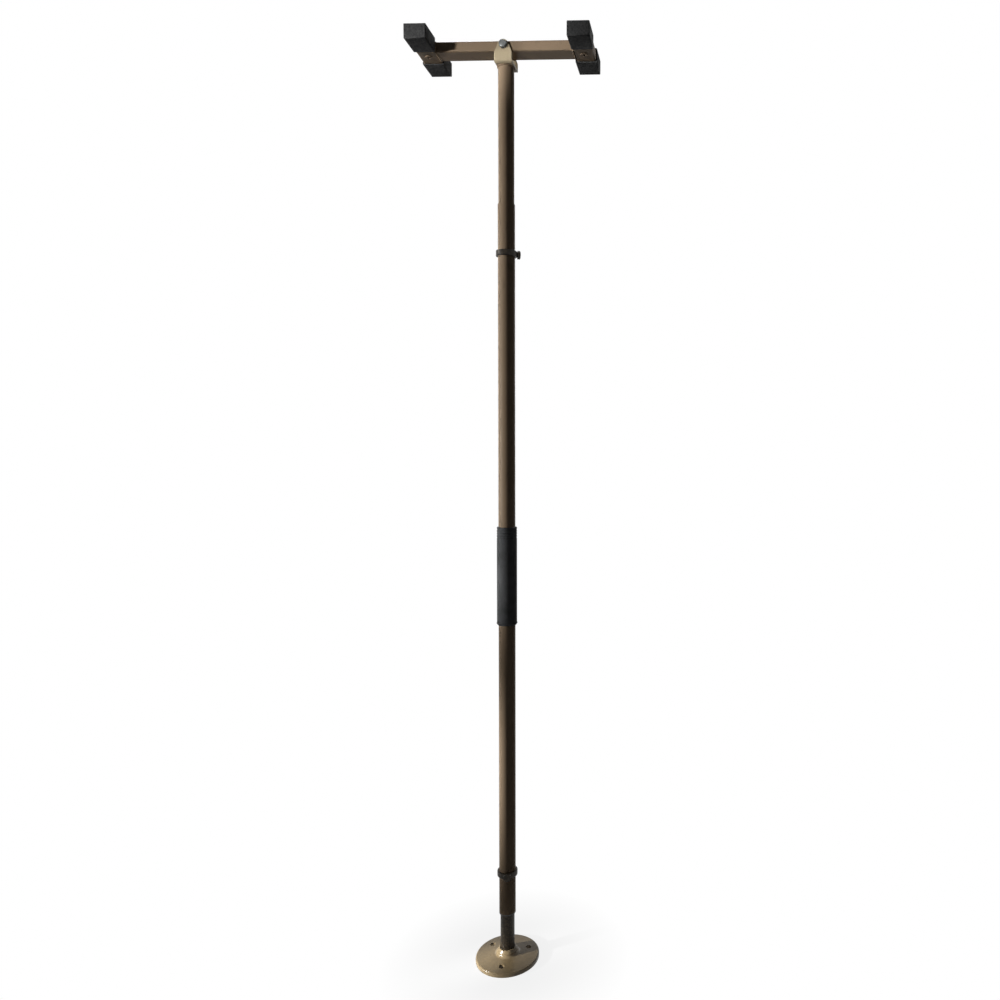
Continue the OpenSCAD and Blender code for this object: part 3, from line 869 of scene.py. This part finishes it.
# Stage: pale floor that fades to white, soft light from the left and from behind
stageLook = {
    "floorSize": 14.0,
    "floorTone": 0.8,
    "floorRough": 0.9,
    "floorSpecular": 0.1,
    "fadeLow": 0.86,
    "fadeFrom": 0.1,
    "fadeTo": 0.34,
    "ambient": 0.024,
}
lamps = [
    {  # ceiling head
        "name": "headPanel", "place": (-1.38, -1.88, 2.17), "aim": (-0.06, 0, 2.41),
        "size": (0.55, 0.06), "power": 0.245, "beam": 7,
    },
    {  # the head and its tube when they are slid up, clear of the pole at rest
        "name": "raisedPanel", "place": (-1.38, -1.88, 2.88), "aim": (0, 0, 2.88),
        "size": (0.25, 0.15), "power": 0.37, "beam": 15,
    },
    {  # top of the head, from behind
        "name": "topPanel", "place": (-0.7, 1.5, 3.9), "aim": (0, 0, 2.43),
        "size": (0.5, 0.3), "power": 0.5, "beam": 16,
    },
    {  # left side from the grip upwards
        "name": "tubePanel", "place": (-2.35, -0.86, 1.69), "aim": (0, 0, 1.69),
        "size": (0.3, 1.52), "power": 1.6, "beam": 8,
    },
    {  # left side below the grip
        "name": "footPanel", "place": (-2.46, -0.45, 0.7), "aim": (0, 0, 0.54),
        "size": (0.2, 0.36), "power": 0.58, "beam": 12,
    },
    {  # floor flange
        "name": "lowPanel", "place": (-2.0, -1.15, 0.68), "aim": (-0.07, -0.04, 0.02),
        "size": (0.1, 0.1), "power": 0.15, "beam": 5,
    },
    {  # rear, from the left
        "name": "backPanel", "place": (-1.8, 2.4, 2.0), "aim": (0, 0, 1.6),
        "size": (0.8, 2.0), "power": 3.6, "beam": 60,
    },
    {  # rear, from the right
        "name": "rearPanel", "place": (0.55, 2.7, 2.0), "aim": (0, 0, 1.6),
        "size": (0.8, 2.0), "power": 2.6, "beam": 60,
    },
]


def makeLamp(lamp):
    data = bpy.data.lights.new(lamp["name"], "AREA")
    data.shape = "RECTANGLE"
    data.size, data.size_y = lamp["size"]
    data.energy = lamp["power"]
    data.spread = math.radians(lamp["beam"])
    item = bpy.data.objects.new(lamp["name"], data)
    scene.collection.objects.link(item)
    item.location = lamp["place"]
    aim = Vector(lamp["aim"]) - Vector(lamp["place"])
    item.rotation_euler = aim.to_track_quat("-Z", "Y").to_euler()


def seenRay(tree):
    # 1 for rays from the camera and for what metal and glass show
    ray = tree.nodes.new("ShaderNodeLightPath").outputs
    either = treeMath(tree, "MAXIMUM", ray["Is Camera Ray"], ray["Is Glossy Ray"])
    return treeMath(tree, "MAXIMUM", either, ray["Is Transmission Ray"])


def makeWorld(look):
    world = bpy.data.worlds.new("studio")
    scene.world = world
    world.use_nodes = True
    tree = world.node_tree
    back = tree.nodes["Background"]
    back.inputs["Color"].default_value = (1, 1, 1, 1)
    level = tree.nodes.new("ShaderNodeMapRange")
    level.inputs["To Min"].default_value = look["ambient"]
    level.inputs["To Max"].default_value = 1.0
    tree.links.new(seenRay(tree), level.inputs["Value"])
    tree.links.new(level.outputs["Result"], back.inputs["Strength"])


def makeFloor(look):
    half = look["floorSize"] / 2
    mesh = bpy.data.meshes.new("floor")
    corners = [(-half, -half, 0), (half, -half, 0), (half, half, 0), (-half, half, 0)]
    mesh.from_pydata(corners, [], [(0, 1, 2, 3)])
    floor = bpy.data.objects.new("floor", mesh)
    scene.collection.objects.link(floor)
    f = Finish("paleFloor")
    tone = look["floorTone"]
    f.set(
        Base_Color=(tone, tone, tone, 1), Roughness=look["floorRough"],
        Specular_IOR_Level=look["floorSpecular"],
    )
    reach = f.add("ShaderNodeVectorMath", operation="LENGTH")
    f.link(f.place, reach.inputs[0])
    fade = f.spread(reach.outputs["Value"], look["fadeLow"], 1, look["fadeFrom"], look["fadeTo"])
    shown = treeMath(f.tree, "MULTIPLY", fade, seenRay(f.tree))
    white = f.add("ShaderNodeEmission")
    mix = f.add("ShaderNodeMixShader")
    f.link(shown, mix.inputs["Fac"])
    f.link(f.shader.outputs["BSDF"], mix.inputs[1])
    f.link(white.outputs["Emission"], mix.inputs[2])
    f.link(mix.outputs["Shader"], f.tree.nodes["Material Output"].inputs["Surface"])
    mesh.materials.append(f.material)


makeWorld(stageLook)
makeFloor(stageLook)
for lamp in lamps:
    makeLamp(lamp)
scene.view_settings.view_transform = "Standard"
print("stage and", len(lamps), "lamps set")
